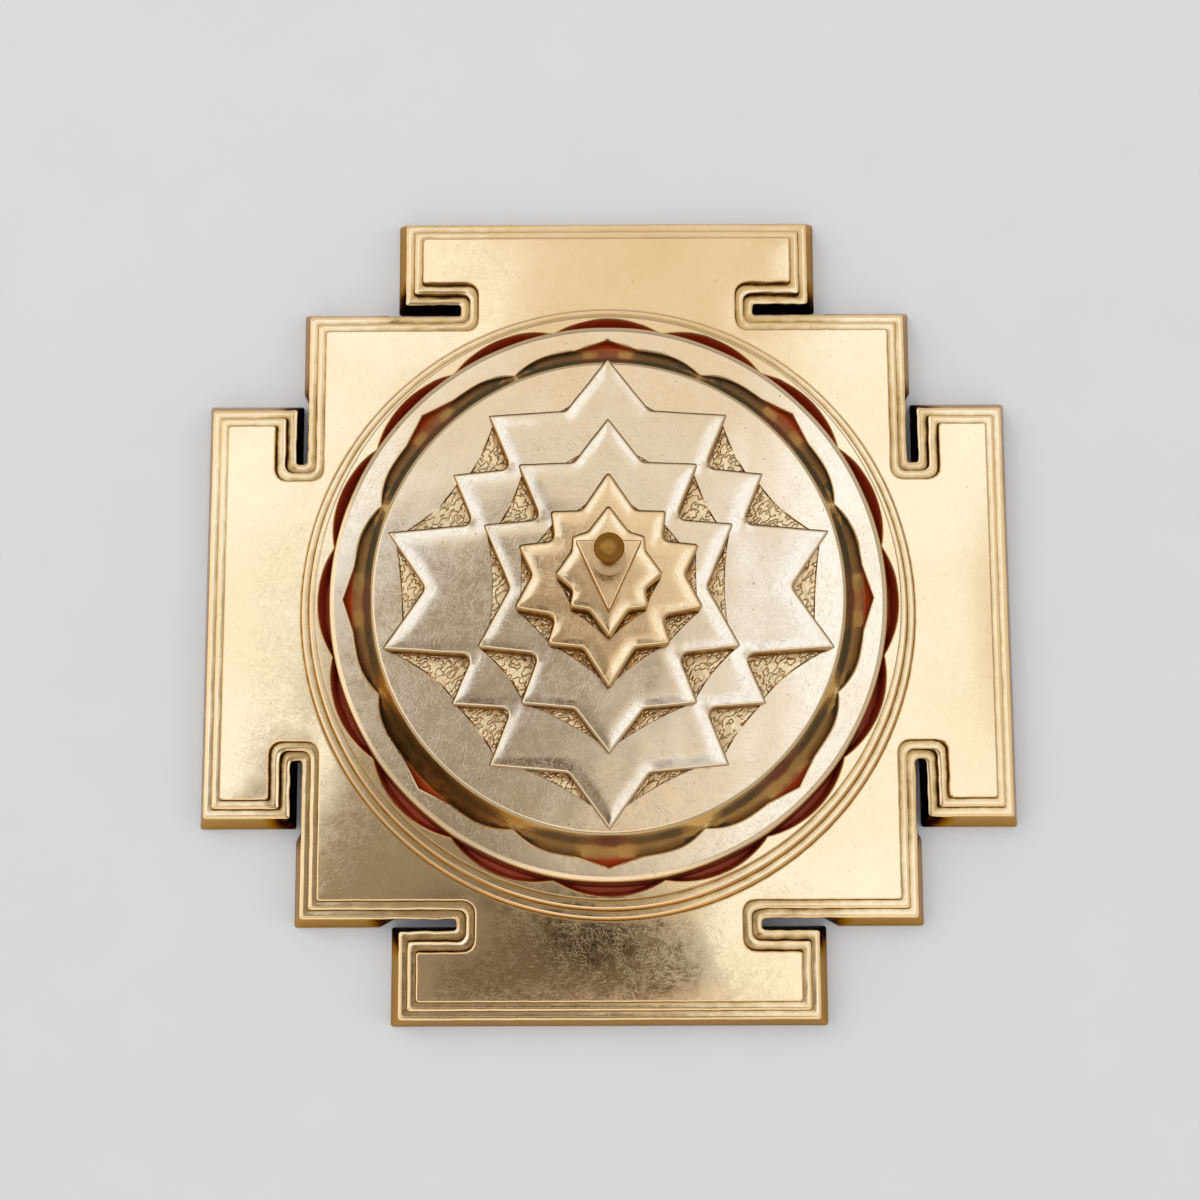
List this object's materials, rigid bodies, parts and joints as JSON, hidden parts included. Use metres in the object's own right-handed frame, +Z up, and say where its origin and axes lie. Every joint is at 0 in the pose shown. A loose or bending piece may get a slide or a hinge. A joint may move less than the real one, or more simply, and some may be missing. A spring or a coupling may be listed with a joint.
{
  "type": "meru shri yantra",
  "caption": "Stepped brass yantra: a square gate plate with circular steps, a petal ring, a turned drum and rising star tiers under a ball on a stem, for display and worship.",
  "frame": {"origin": "centre of the rest face, under the axis of the steps", "axes": "+Z up, +Y away from the side that the centre triangle points to, +X to the right of someone facing +Y"},
  "size_m": [0.1566, 0.1566, 0.0719],
  "materials": {
    "plate_brass": "polished casting, chiselled edges",
    "turned_brass": "turned and polished",
    "star_brass": "filed and polished",
    "dark_brass": "turned, toned darker",
    "hardware_steel": "plain"
  },
  "bodies": {
    "root": {"base_plate": "plate_brass", "closing_plug": "plate_brass", "lotus_ring": "turned_brass", "drum": "turned_brass", "star_14": "star_brass", "star_10_outer": "star_brass", "star_10_inner": "star_brass", "star_8": "star_brass", "centre_triangle": "star_brass", "bindu": "dark_brass", "tie_stud": "hardware_steel", "tie_washer": "hardware_steel", "tie_nut": "hardware_steel", "base_key": "hardware_steel", "ring_key": "hardware_steel", "drum_pins": "hardware_steel", "star_14_pins": "hardware_steel", "star_10_outer_pins": "hardware_steel", "star_10_inner_pins": "hardware_steel", "star_8_pins": "hardware_steel", "triangle_pins": "hardware_steel"}
  },
  "joints": []
}
